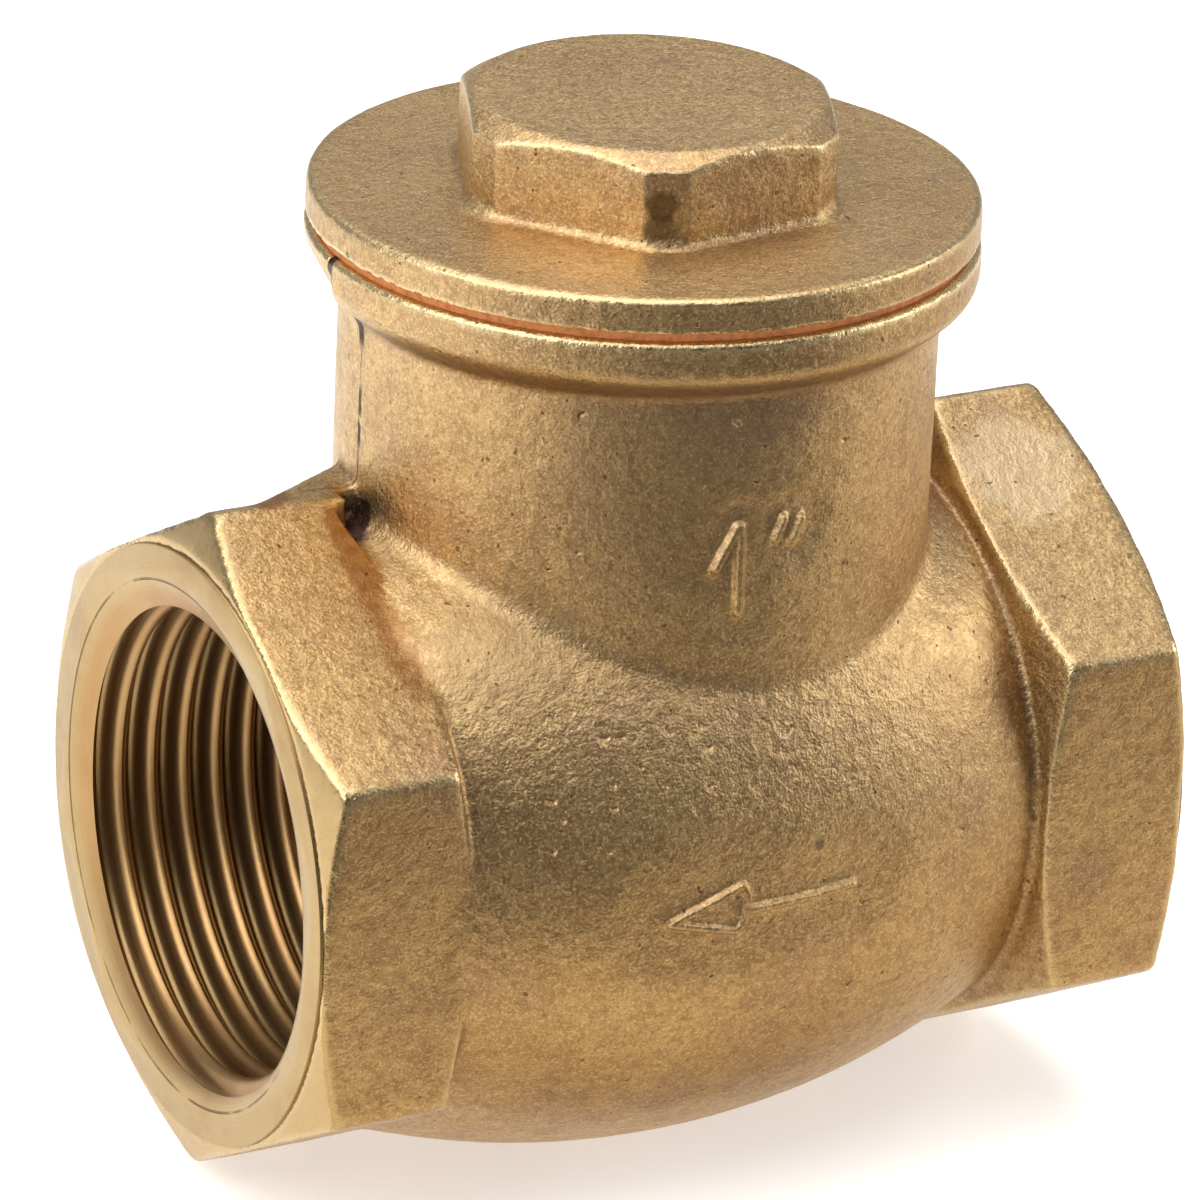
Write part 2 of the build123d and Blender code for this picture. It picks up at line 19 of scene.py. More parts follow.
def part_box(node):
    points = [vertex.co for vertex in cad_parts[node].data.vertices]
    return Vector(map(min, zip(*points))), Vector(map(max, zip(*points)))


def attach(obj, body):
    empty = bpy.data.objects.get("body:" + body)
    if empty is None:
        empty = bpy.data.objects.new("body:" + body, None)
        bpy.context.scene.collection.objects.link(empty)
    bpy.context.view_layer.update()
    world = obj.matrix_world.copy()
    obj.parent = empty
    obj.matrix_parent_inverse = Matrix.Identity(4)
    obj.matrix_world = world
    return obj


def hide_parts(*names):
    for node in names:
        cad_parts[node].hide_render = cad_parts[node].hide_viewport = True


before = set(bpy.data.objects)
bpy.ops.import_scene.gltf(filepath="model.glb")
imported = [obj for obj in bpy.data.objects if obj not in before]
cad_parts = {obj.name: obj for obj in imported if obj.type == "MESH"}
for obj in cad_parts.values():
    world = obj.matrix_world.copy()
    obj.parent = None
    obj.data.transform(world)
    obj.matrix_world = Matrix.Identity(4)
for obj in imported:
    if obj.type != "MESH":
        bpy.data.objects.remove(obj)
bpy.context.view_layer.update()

MM = 0.001
LOG = logging.getLogger("check_valve")

Point = tuple[float, float, float]
Colour = tuple[float, float, float]


class Slot(Enum):
    """A material slot name from the record, which no piece here is given."""

    CAST = "cast_brass"


class Body(Enum):
    """The moving bodies that pieces ride on."""

    VALVE = "valve"
    CAP = "cap"


# Sizes


def box_mm(node: str) -> tuple[Vector, Vector]:
    """Gives a CAD node's lowest and highest corner in millimetres.

    Args:
        node: The CAD node's name.

    Returns:
        The two corners.
    """
    low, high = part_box(node)
    return low / MM, high / MM


BODY_LOW, BODY_HIGH = box_mm("valve_body")
GASKET_LOW, GASKET_HIGH = box_mm("cap_gasket")
INLET_X = BODY_HIGH.x
OUTLET_X = BODY_LOW.x
NECK_X = (INLET_X + OUTLET_X) / 2
COLLAR_TOP = BODY_HIGH.z
CAP_TOP = box_mm("cap")[1].z

FACE_RADIUS = 19.3  # of the turned ring on a mouth's face
RIM_RADIUS = 17.0  # where a mouth's countersink meets its face
BORE_EDGE = (17.6, 17.2)  # from the casting outside a port's thread in to the port piece
PARTING_TURN = 3.5  # of the mould's parting plane about the neck's axis, in degrees
PARTING_FOOT = 21.5  # height of the parting line's foot on the neck
UNDER_FLANGE = 20.5  # reach from the neck's axis of what the cap's flange covers
CAP_PITCH = 1.814  # of the cap's thread
CAP_THREAD_DEPTH = 0.55
CAP_THREAD_LENGTH = 8.0
HEAD_HEIGHT = 5.3  # of the cap's head above the rounding of its foot
HEAD_SIDE = (2.2, 3.4)  # below the cap's top, where the head's sides are upright
CORNER_TRIM = 0.25  # depth of the flats on the head's upright corners
HEX_TOP_CORNER = 22.5  # height of the hexagon's upper corner above the flow axis
HEX_FALL = 0.577  # of the flats beside that corner, for each millimetre sideways
FRONT_Y = -10.0  # marks lie before this place


# Mesh helpers


def select_only(piece: bpy.types.Object) -> None:
    """Deselects everything, then selects a piece and makes it active."""
    bpy.ops.object.select_all(action="DESELECT")
    piece.select_set(True)
    bpy.context.view_layer.objects.active = piece


def newest(name: str) -> bpy.types.Object:
    """Names the primitive that was added last and returns it."""
    piece = bpy.context.view_layer.objects.active
    piece.name = name
    piece.data.name = name
    return piece


def edit(piece: bpy.types.Object) -> None:
    """Opens a piece in edit mode with everything in it selected."""
    select_only(piece)
    bpy.context.tool_settings.mesh_select_mode = (True, False, False)
    bpy.ops.object.mode_set(mode="EDIT")
    bpy.ops.mesh.select_all(action="SELECT")


def edit_faces(piece: bpy.types.Object, chosen: np.ndarray) -> None:
    """Opens a piece in edit mode with only some of its faces selected.

    Args:
        piece: The piece.
        chosen: One truth value for each face.
    """
    select_only(piece)
    bpy.context.tool_settings.mesh_select_mode = (False, False, True)
    for parts, values in (
        (piece.data.vertices, np.zeros(len(piece.data.vertices), bool)),
        (piece.data.edges, np.zeros(len(piece.data.edges), bool)),
        (piece.data.polygons, chosen),
    ):
        parts.foreach_set("select", values)
    bpy.ops.object.mode_set(mode="EDIT")


def leave_edit() -> None:
    """Goes back to object mode."""
    bpy.ops.object.mode_set(mode="OBJECT")


def settle(piece: bpy.types.Object) -> None:
    """Puts a piece's place into its mesh, so that its object sits at the origin."""
    select_only(piece)
    bpy.ops.object.transform_apply(location=True, rotation=True, scale=True)


def apply_modifier(piece: bpy.types.Object, kind: str, **settings: object) -> None:
    """Adds a modifier with its settings and applies it.

    Args:
        piece: The piece that is changed.
        kind: The modifier's type.
        settings: The modifier's properties.
    """
    select_only(piece)
    modifier = piece.modifiers.new(kind.lower(), kind)
    for key, value in settings.items():
        setattr(modifier, key, value)
    bpy.ops.object.modifier_apply(modifier=modifier.name)


def remove(piece: bpy.types.Object) -> None:
    """Deletes a helper piece and its mesh."""
    mesh = piece.data
    bpy.data.objects.remove(piece)
    bpy.data.meshes.remove(mesh)


def merged_copy(node: str, name: str) -> bpy.types.Object:
    """Copies a CAD node's mesh into a piece of its own, with its loose triangles merged.

    Args:
        node: The CAD node's name.
        name: The new piece's name.

    Returns:
        The new piece.
    """
    piece = bpy.data.objects.new(name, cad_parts[node].data.copy())
    bpy.context.scene.collection.objects.link(piece)
    piece.data.name = name
    edit(piece)
    bpy.ops.mesh.remove_doubles(threshold=0.0005 * MM)
    leave_edit()
    return piece


def smooth_by_angle(piece: bpy.types.Object, degrees: float) -> None:
    """Shades a piece smooth, apart from edges sharper than an angle."""
    select_only(piece)
    bpy.ops.object.shade_smooth_by_angle(angle=math.radians(degrees))


def points_of(mesh: bpy.types.Mesh) -> np.ndarray:
    """Gives a mesh's points in millimetres, one row each."""
    points = np.empty(len(mesh.vertices) * 3)
    mesh.vertices.foreach_get("co", points)
    return points.reshape(-1, 3) / MM


def middles_of(mesh: bpy.types.Mesh) -> np.ndarray:
    """Gives the middles of a mesh's faces in millimetres, one row each."""
    middles = np.empty(len(mesh.polygons) * 3)
    mesh.polygons.foreach_get("center", middles)
    return middles.reshape(-1, 3) / MM


def normals_of(mesh: bpy.types.Mesh) -> np.ndarray:
    """Gives a mesh's point normals, one row each."""
    normals = np.empty(len(mesh.vertices) * 3)
    mesh.vertices.foreach_get("normal", normals)
    return normals.reshape(-1, 3)


def set_points(mesh: bpy.types.Mesh, points: np.ndarray) -> None:
    """Writes a mesh's points back from millimetres."""
    mesh.vertices.foreach_set("co", (points * MM).ravel())
    mesh.update()


def set_attribute(mesh: bpy.types.Mesh, name: str, values: np.ndarray) -> None:
    """Stores one number for each point, which a finish can read by name."""
    layer = mesh.attributes.get(name) or mesh.attributes.new(name, "FLOAT", "POINT")
    layer.data.foreach_set("value", values.astype(np.float32))


def weight_group(piece: bpy.types.Object, name: str, weights: np.ndarray) -> None:
    """Makes a vertex group from one weight for each point, rounded to tenths.

    Args:
        piece: The piece that gets the group.
        name: The group's name.
        weights: One weight from 0 to 1 for each point.
    """
    group = piece.vertex_groups.new(name=name)
    tenths = np.rint(np.clip(weights, 0, 1) * 10).astype(int)
    for step in range(1, 11):
        group.add(np.flatnonzero(tenths == step).tolist(), step / 10, "REPLACE")


def softened(mesh: bpy.types.Mesh, values: np.ndarray, rounds: int) -> np.ndarray:
    """Draws each point's numbers towards its neighbours' mean.

    Args:
        mesh: The mesh.
        values: One row of numbers for each point.
        rounds: How many times they are drawn.

    Returns:
        The softened rows.
    """
    ends = np.empty(len(mesh.edges) * 2, dtype=np.int64)
    mesh.edges.foreach_get("vertices", ends)
    first, second = ends.reshape(-1, 2).T
    count = np.bincount(ends, minlength=len(values))
    rows = values.copy()
    for step in range(rounds):
        for column in rows.T:
            total = np.bincount(first, weights=column[second], minlength=len(rows))
            total += np.bincount(second, weights=column[first], minlength=len(rows))
            column[:] = 0.4 * column + 0.6 * (total / count)
    return rows


def ramp(values: np.ndarray, low: float, high: float) -> np.ndarray:
    """Goes smoothly from 0 at low to 1 at high."""
    share = np.clip((values - low) / (high - low), 0, 1)
    return share * share * (3 - 2 * share)


# Shader helpers


class Wire:
    """A shader socket on which plain arithmetic adds Math nodes."""

    def __init__(self, graph: "Graph", socket: bpy.types.NodeSocket) -> None:
        """Wraps a socket of a graph."""
        self.graph = graph
        self.socket = socket

    def _math(self, operation: str, *values: "Wire | float") -> "Wire":
        """Adds one Math node on these values."""
        settings = {"operation": operation}
        return self.graph.node("ShaderNodeMath", settings, dict(enumerate(values)))[0]

    def __add__(self, other: "Wire | float") -> "Wire":
        """Adds."""
        return self._math("ADD", self, other)

    __radd__ = __add__

    def __sub__(self, other: "Wire | float") -> "Wire":
        """Subtracts."""
        return self._math("SUBTRACT", self, other)

    def __rsub__(self, other: "Wire | float") -> "Wire":
        """Subtracts this from a number."""
        return self._math("SUBTRACT", other, self)

    def __mul__(self, other: "Wire | float") -> "Wire":
        """Multiplies."""
        return self._math("MULTIPLY", self, other)

    __rmul__ = __mul__

    def __truediv__(self, other: "Wire | float") -> "Wire":
        """Divides."""
        return self._math("DIVIDE", self, other)

    def __pow__(self, other: "Wire | float") -> "Wire":
        """Raises to a power."""
        return self._math("POWER", self, other)

    def __abs__(self) -> "Wire":
        """Drops the sign."""
        return self._math("ABSOLUTE", self)

    def largest(self, other: "Wire | float") -> "Wire":
        """Gives the larger of two values."""
        return self._math("MAXIMUM", self, other)

    def fade(self, low: float, high: float) -> "Wire":
        """Goes smoothly from 0 at low to 1 at high, or down from 1 to 0 where low is above high.

        Args:
            low: The value that gives 0.
            high: The value that gives 1.

        Returns:
            The faded value.
        """
        falling = low > high
        settings = {"interpolation_type": "SMOOTHSTEP"}
        ends = {1: min(low, high), 2: max(low, high), 3: float(falling), 4: float(not falling)}
        return self.graph.node("ShaderNodeMapRange", settings, {0: self, **ends})[0]


Value = Wire | float | tuple[float, ...]


class Graph:
    """The node tree of a material or of the surroundings, with short ways to add to it."""

    def __init__(
        self, owner: bpy.types.Material | bpy.types.World, shader: str = "Principled BSDF"
    ) -> None:
        """Starts a node tree with only its output and one shader."""
        self.owner = owner
        self.owner.use_nodes = True
        self.tree = self.owner.node_tree
        self.shader = self.tree.nodes[shader]

    def node(
        self, kind: str, settings: dict[str, object], inputs: dict[int | str, Value]
    ) -> list[Wire]:
        """Adds a node.

        Args:
            kind: The node's type.
            settings: Its properties, which are set first.
            inputs: What its sockets get, by name or place.

        Returns:
            Its output sockets in order.
        """
        added = self.tree.nodes.new(kind)
        for key, value in settings.items():
            setattr(added, key, value)
        for key, value in inputs.items():
            self.feed(added.inputs[key], value)
        return [Wire(self, socket) for socket in added.outputs]

    def feed(self, socket: bpy.types.NodeSocket, value: Value) -> None:
        """Links a socket to a wire, or sets it to a number or a colour."""
        if isinstance(value, Wire):
            self.tree.links.new(value.socket, socket)
        elif isinstance(value, tuple) and socket.type == "RGBA":
            socket.default_value = (*value, 1.0)
        else:
            socket.default_value = value

    def surface(self, **inputs: Value) -> None:
        """Feeds the shader's sockets, named with underscores for spaces."""
        for key, value in inputs.items():
            socket = key.replace("_", " ").title().replace("Ior", "IOR")
            self.feed(self.shader.inputs[socket], value)

    def place(self) -> Wire:
        """Gives the place on the piece in millimetres."""
        metres = self.node("ShaderNodeTexCoord", {}, {})[3]
        scaled = {0: metres, 1: (1 / MM, 1 / MM, 1 / MM)}
        return self.node("ShaderNodeVectorMath", {"operation": "MULTIPLY"}, scaled)[0]

    def split(self, vector: Wire) -> list[Wire]:
        """Splits a vector into its three numbers."""
        return self.node("ShaderNodeSeparateXYZ", {}, {0: vector})

    def attribute(self, name: str) -> Wire:
        """Reads a number that the mesh stores for each point."""
        return self.node("ShaderNodeAttribute", {"attribute_name": name}, {})[2]

    def noise(self, place: Wire, size: float, detail: float = 2.0, rough: float = 0.5) -> Wire:
        """Adds noise.

        Args:
            place: Where it is read, in millimetres.
            size: About how wide one blotch is, in millimetres.
            detail: How many finer layers lie over it.
            rough: How strong the finer layers are.

        Returns:
            A value about 0.5.
        """
        inputs = {"Vector": place, "Scale": 1 / size, "Detail": detail, "Roughness": rough}
        return self.node("ShaderNodeTexNoise", {}, inputs)[0]

    def streaks(self, *place: Value) -> Wire:
        """Adds noise read at a place made of three numbers, drawn out where they change slowly."""
        joined = self.node("ShaderNodeCombineXYZ", {}, dict(enumerate(place)))[0]
        inputs = {"Vector": joined, "Scale": 1.0, "Detail": 2.0}
        return self.node("ShaderNodeTexNoise", {}, inputs)[0]

    def blend(self, share: Value, first: Value, second: Value, mode: str = "MIX") -> Wire:
        """Mixes two colours.

        Args:
            share: How much of the second, from 0 to 1.
            first: The colour at 0.
            second: The colour at 1.
            mode: How they are mixed.

        Returns:
            The mixed colour.
        """
        settings = {"data_type": "RGBA", "blend_type": mode, "clamp_factor": True}
        return self.node("ShaderNodeMix", settings, {0: share, 6: first, 7: second})[2]

    def near(self, place: Wire, centre: Point, radius: float) -> Wire:
        """Gives 1 at a point, falling to 0 at a radius from it."""
        inputs = {0: place, 1: centre}
        distance = self.node("ShaderNodeVectorMath", {"operation": "DISTANCE"}, inputs)[1]
        return distance.fade(radius, 0.0)

    def bump(self, height: Wire, depth: float, normal: Wire | None = None) -> Wire:
        """Turns a height from 0 to 1 into relief.

        Args:
            height: The height.
            depth: How far 1 stands above 0, in millimetres.
            normal: Relief that this is added to.

        Returns:
            The normal.
        """
        inputs: dict[int | str, Value] = {"Height": height, "Distance": depth * MM}
        if normal is not None:
            inputs["Normal"] = normal
        return self.node("ShaderNodeBump", {}, inputs)[0]


# Finishes

PIT_BROWN = (0.12, 0.07, 0.035)
# Painted shade in the thin groove where a port's countersink meets its face.
RIM_SHADE_BROWN = (0.12, 0.06, 0.02)
# Painted shade under the collar's bead.
BEAD_SHADE_BROWN = (0.20, 0.115, 0.055)
# Painted shadow in the parting step between the mould's halves.
SEAM_SHADOW_BLACK = (0.03, 0.014, 0.005)
# Painted shade in the pocket by the web.
POCKET_SHADE_BLACK = (0.06, 0.03, 0.032)
CORNER_BROWN = (0.13, 0.08, 0.035)
# Painted shade with a reddish bounce, in the recess behind the near hexagon.
RECESS_SHADE_ORANGE = (0.33, 0.15, 0.05)
DULL_STEEL = (0.42, 0.40, 0.37)


@dataclass(frozen=True)
class Patch:
    """A stain, a rubbed place or a place of painted shade on the casting.

    Attributes:
        centre: Its middle.
        radius: Where it ends.
        colour: What the brass turns to there.
        strength: How much of that colour shows in the middle.
    """

    centre: Point
    radius: float
    colour: Colour
    strength: float


@dataclass(frozen=True)
class CastBrass:
    """Sand-cast brass, tumbled: grainy, pitted, with painted shade in its hollows, and brighter where
    rubbed.

    Attributes:
        name: The material's name.
        gold: The clean metal.
        brown: The metal where it is dull, and the colour of the painted shade in hollows.
        violet: The faint tarnish.
        bright: The metal on rubbed edges.
        roughness: Of the open surface.
        grain_depth: Height of the sand grain.
        turned: The metal where the hexagons' ends were turned.
        coarse_middle: About where the grain is coarsest.
        patches: Stains and painted shade at their places.
        seam: Whether the mould's parting line shows on the neck, as painted shadow in its step, with
            painted shade under the collar's bead.
    """

    name: str
    gold: Colour = (0.60, 0.41, 0.195)
    brown: Colour = (0.33, 0.195, 0.095)
    violet: Colour = (0.42, 0.27, 0.18)
    bright: Colour = (0.86, 0.70, 0.40)
    roughness: float = 0.44
    grain_depth: float = 0.06
    turned: Colour = (0.47, 0.335, 0.16)
    coarse_middle: Point = (-36, -21, 7)
    patches: tuple[Patch, ...] = ()
    seam: bool = False

    def make(self) -> bpy.types.Material:
        """Builds the material."""
        graph = Graph(bpy.data.materials.new(self.name))
        place = graph.place()
        worn = graph.attribute("worn")
        hollow_shade = graph.attribute("hollow_shade")
        machined = graph.attribute("machined")
        broad = graph.noise(place, 11.0, 3.0, 0.6)
        mottle = graph.noise(place, 1.7, 3.0, 0.6)
        grain = graph.noise(place, 0.34, 3.0, 0.7)
        lumps = graph.noise(place, 0.95, 2.0, 0.5)
        specks = graph.noise(place, 0.17, 1.0, 0.5)
        pits = graph.noise(place, 0.6, 1.0).fade(0.735, 0.78)
        stipple = graph.noise(place, 0.62, 2.0, 0.6)
        dull = (broad * 0.7 + mottle * 0.6).fade(0.50, 0.88)
        colour = graph.blend(dull * 0.5, self.gold, self.brown)
        clouds = graph.noise(place, 7.0, 3.0, 0.6).fade(0.48, 0.75)
        colour = graph.blend(clouds * 0.5, colour, self.violet)
        colour = graph.blend(stipple.fade(0.52, 0.36) * 0.45, colour, self.brown)
        # Painted shade: browner where the surface lies deeper than its surroundings.
        colour = graph.blend(hollow_shade.fade(0.15, 0.9) * 0.75, colour, self.brown)
        pale = (specks * 0.6 + grain * 0.4).fade(0.52, 0.66)
        colour = graph.blend(pale * 0.5, colour, self.bright)
        dark = (specks * 0.5 + grain * 0.5).fade(0.48, 0.34)
        colour = graph.blend(dark * 0.6, colour, self.brown)
        rubbed = (worn * 1.2 + mottle * 1.1 - 0.75).fade(0.0, 0.8)
        colour = graph.blend(rubbed * 0.45, colour, self.bright)
        for patch in self.patches:
            near = graph.near(place, patch.centre, patch.radius)
            mask = (near * 1.2 + mottle * 1.2 - 0.9).fade(0.05, 0.5)
            colour = graph.blend(mask * patch.strength, colour, patch.colour)
        colour = graph.blend(pits * 0.7, colour, PIT_BROWN)
        colour = graph.blend(machined * 0.85, colour, self.turned)
        roughness = self.roughness + (mottle - 0.5) * 0.2 + (specks - 0.5) * 0.3 - rubbed * 0.14
        roughness = roughness - machined * 0.06
        cast = (1.0 - machined * 0.85) * (1.0 + graph.near(place, self.coarse_middle, 22.0) * 0.7)
        height = (grain * 0.8 + specks * 0.2 - pits * 1.2) * cast
        normal = graph.bump(height, self.grain_depth, graph.bump(lumps * cast, 0.10))
        if self.seam:
            x, y, z = graph.split(place)
            wander = (graph.noise(place, 1.3, 2.0) - 0.5) * 0.25
            across = y + (x - NECK_X) * math.tan(math.radians(PARTING_TURN)) + wander
            # Painted shadow along the parting step: a faint line, dashes lower down, and a wider dark
            # step below the collar, over a shallow groove.
            thin = abs(across).fade(0.15, 0.04) * mottle.fade(0.30, 0.50) * 0.55
            dashes = abs(across + 0.06).fade(0.30, 0.10) * z.fade(29.3, 28.5) * z.fade(24.4, 25.4)
            step_shadow = abs(across - 0.06).fade(0.50, 0.26) * z.fade(31.3, 32.2)
            line = thin.largest(dashes * mottle.fade(0.36, 0.46)).largest(step_shadow)
            line = line * x.fade(NECK_X, NECK_X - 6) * z.fade(PARTING_FOOT, PARTING_FOOT + 1)
            # Painted shade in a band under the collar's bead, on the front half.
            under_bead_shade = z.fade(32.6, 33.4) * z.fade(35.1, 34.3) * across.fade(0.3, -0.3)
            colour = graph.blend(under_bead_shade * 0.5, colour, BEAD_SHADE_BROWN)
            colour = graph.blend(line * 0.95, colour, SEAM_SHADOW_BLACK)
            normal = graph.bump(1.0 - line, 0.12, normal)
        graph.surface(base_color=colour, metallic=1.0, roughness=roughness, normal=normal)
        return graph.owner


@dataclass(frozen=True)
class MachinedBrass:
    """Brass as a cutting tool leaves it, with fine rings about the flow axis.

    Attributes:
        name: The material's name.
        metal: The metal.
        shade: The metal in the tool's grooves.
        roughness: Of the cut surface.
        ring_pitch: Between two tool marks.
        ring_depth: Of a tool mark.
        rim_radius: Where a port's countersink meets its face, along which shade is painted, or 0 away
            from the ports.
        port_shade_brown: Painted shade, a browner metal, inside a port.
    """

    name: str
    metal: Colour = (0.44, 0.315, 0.148)
    shade: Colour = (0.30, 0.165, 0.08)
    roughness: float = 0.39
    ring_pitch: float = 0.16
    ring_depth: float = 0.006
    rim_radius: float = 0.0
    port_shade_brown: Colour = (0.40, 0.22, 0.09)

    def make(self) -> bpy.types.Material:
        """Builds the material."""
        graph = Graph(bpy.data.materials.new(self.name))
        place = graph.place()
        x, y, z = graph.split(place)
        radius = (y * y + z * z) ** 0.5
        rings = graph.streaks(x / 0.12, radius / self.ring_pitch, 0.0)
        cloud = graph.noise(place, 5.0, 3.0, 0.6)
        specks = graph.noise(place, 0.3, 2.0, 0.6)
        colour = graph.blend(cloud.fade(0.45, 0.8) * 0.35, self.metal, self.shade)
        colour = graph.blend(rings.fade(0.5, 0.7) * 0.18, colour, self.shade)
        colour = graph.blend(specks.fade(0.62, 0.75) * 0.3, colour, self.shade)
        roughness = self.roughness + (cloud - 0.5) * 0.16 + (specks - 0.5) * 0.1
        normal = graph.bump(rings, self.ring_depth, graph.bump(specks, 0.01))
        if self.rim_radius:
            # Painted shade: browner inside the port, within the countersink.
            inside = radius.fade(self.rim_radius - 0.2, self.rim_radius - 1.0)
            colour = graph.blend(inside * (0.35 + cloud * 0.6), colour, self.port_shade_brown)
            # Painted shade in a thin groove where the countersink meets the face.
            rim_shade = abs(radius - self.rim_radius - 0.04).fade(0.10, 0.03) * cloud.fade(0.36, 0.5)
            colour = graph.blend(rim_shade * 0.75, colour, RIM_SHADE_BROWN)
            normal = graph.bump(1.0 - rim_shade, 0.08, normal)
        graph.surface(base_color=colour, metallic=1.0, roughness=roughness, normal=normal)
        return graph.owner


@dataclass(frozen=True)
class GroundSteel:
    """Ground stainless steel with fine lines along the flow axis.

    Attributes:
        name: The material's name.
        metal: The metal.
    """

    name: str
    metal: Colour = (0.62, 0.61, 0.58)

    def make(self) -> bpy.types.Material:
        """Builds the material."""
        graph = Graph(bpy.data.materials.new(self.name))
        place = graph.place()
        x, y, z = graph.split(place)
        lines = graph.streaks(x / 2.5, y / 0.09, z / 0.09)
        cloud = graph.noise(place, 3.0, 3.0)
        colour = graph.blend(cloud.fade(0.4, 0.8) * 0.4, self.metal, DULL_STEEL)
        roughness = 0.28 + (lines - 0.5) * 0.3
        normal = graph.bump(lines, 0.006)
        graph.surface(base_color=colour, metallic=1.0, roughness=roughness, normal=normal)
        return graph.owner


@dataclass(frozen=True)
class MouldedRubber:
    """Black moulded rubber, faintly dusty.

    Attributes:
        name: The material's name.
        black: The clean rubber.
        dust: What lies on it.
    """

    name: str
    black: Colour = (0.018, 0.018, 0.019)
    dust: Colour = (0.09, 0.085, 0.075)

    def make(self) -> bpy.types.Material:
        """Builds the material."""
        graph = Graph(bpy.data.materials.new(self.name))
        place = graph.place()
        cloud = graph.noise(place, 4.0, 4.0, 0.6)
        grain = graph.noise(place, 0.25, 3.0, 0.6)
        colour = graph.blend(cloud.fade(0.45, 0.8) * 0.5, self.black, self.dust)
        roughness = 0.55 + (cloud - 0.5) * 0.3
        normal = graph.bump(grain, 0.015)
        graph.surface(base_color=colour, metallic=0.0, roughness=roughness, normal=normal)
        return graph.owner


@dataclass(frozen=True)
class PressedFibre:
    """Red-brown fibre sheet with short matted threads.

    Attributes:
        name: The material's name.
        red: The sheet.
        dark: Its darker threads.
    """

    name: str
    red: Colour = (0.62, 0.22, 0.06)
    dark: Colour = (0.30, 0.09, 0.03)

    def make(self) -> bpy.types.Material:
        """Builds the material."""
        graph = Graph(bpy.data.materials.new(self.name))
        place = graph.place()
        threads = graph.noise(place, 0.5, 5.0, 0.7)
        cloud = graph.noise(place, 4.0, 2.0)
        colour = graph.blend(threads.fade(0.4, 0.65) * 0.6, self.red, self.dark)
        roughness = 0.7 + (cloud - 0.5) * 0.2
        normal = graph.bump(threads, 0.04)
        graph.surface(base_color=colour, metallic=0.0, roughness=roughness, normal=normal)
        return graph.owner


@dataclass(frozen=True)
class PalePaper:
    """The plain pale floor.

    Attributes:
        name: The material's name.
        white: Its colour.
        glow: How much light it gives off, so that shadows on it stay pale.
    """

    name: str = "pale_floor"
    white: Colour = (0.93, 0.93, 0.93)
    glow: float = 0.52

    def make(self) -> bpy.types.Material:
        """Builds the material."""
        graph = Graph(bpy.data.materials.new(self.name))
        graph.surface(base_color=self.white, roughness=0.9)
        graph.surface(emission_color=self.white, emission_strength=self.glow)
        return graph.owner


def dress(piece: bpy.types.Object, material: bpy.types.Material) -> None:
    """Gives a piece one material all over."""
    piece.data.materials.clear()
    piece.data.materials.append(material)


# Pieces


@dataclass(frozen=True)
class CastMark:
    """Something cast into the front: ridges or grooves seen from the front, and filled shapes.

    Attributes:
        name: What it shows.
        ridges: Lines along which the metal stands highest, each as (x, z) points.
        height: Of a ridge, or less than 0 for a groove.
        width: Of a ridge at its foot.
        outline: A closed outline as (x, z) points, whose inside stands a little proud.
        fill_height: Of the outline's inside.
        dip: How far the metal round the mark lies lower.
        dip_reach: Where the dip ends.
    """

    name: str
    ridges: tuple[tuple[tuple[float, float], ...], ...]
    height: float = 0.3
    width: float = 0.8
    outline: tuple[tuple[float, float], ...] = ()
    fill_height: float = 0.12
    dip: float = 0.0
    dip_reach: float = 5.0

    def distance(self, points: np.ndarray) -> np.ndarray:
        """Gives each point's distance from the nearest ridge, seen from the front."""
        seen = points[:, (0, 2)]
        best = np.full(len(points), np.inf)
        for ridge in self.ridges:
            for start, end in zip(ridge, ridge[1:]):
                along = np.subtract(end, start)
                share = np.clip((seen - start) @ along / max(along @ along, 1e-9), 0, 1)
                beside = seen - start - share[:, None] * along
                best = np.minimum(best, np.linalg.norm(beside, axis=1))
        best[points[:, 1] > FRONT_Y] = np.inf
        return best

    def inside(self, points: np.ndarray) -> np.ndarray:
        """Gives whether each point lies inside the outline, seen from the front."""
        within = np.zeros(len(points), bool)
        x, z = points[:, 0], points[:, 2]
        for (x0, z0), (x1, z1) in zip(self.outline, self.outline[1:] + self.outline[:1]):
            crosses = (z0 > z) != (z1 > z)
            edge_x = x0 + (z - z0) * (x1 - x0) / (z1 - z0 if z1 != z0 else 1e-9)
            within ^= crosses & (x < edge_x)
        return within & (points[:, 1] < FRONT_Y)

    def cast(self, piece: bpy.types.Object) -> None:
        """Refines the mesh round the mark and raises it.

        Args:
            piece: The casting's skin.
        """
        for _ in range(2):
            edit_faces(piece, self.distance(middles_of(piece.data)) < self.width / 2 + 0.3)
            bpy.ops.mesh.subdivide(number_cuts=1)
            leave_edit()
        points = points_of(piece.data)
        distance = self.distance(points)
        rise = self.height * ramp(distance, self.width / 2, self.width / 8)
        if self.outline:
            rise = np.maximum(rise, self.fill_height * self.inside(points))
        rise -= self.dip * ramp(distance, self.dip_reach, self.width)
        set_points(piece.data, points + normals_of(piece.data) * rise[:, None])


def scattered_nicks(
    seed: int, count: int, low: tuple[float, float], high: tuple[float, float]
) -> CastMark:
    """Scatters short shallow nicks over a part of the front.

    Args:
        seed: Of the random draws.
        count: How many there are.
        low: Lowest x and z.
        high: Highest x and z.

    Returns:
        The nicks as one mark.
    """
    draw = np.random.default_rng(seed)
    ridges = []
    for _ in range(count):
        start = draw.uniform(low, high)
        turn, length = draw.uniform(0, math.tau), draw.uniform(0.02, 0.5)
        end = (start[0] + length * math.cos(turn), start[1] + length * math.sin(turn))
        ridges.append((tuple(start), end))
    return CastMark("nicks", tuple(ridges), height=-0.13, width=0.34)


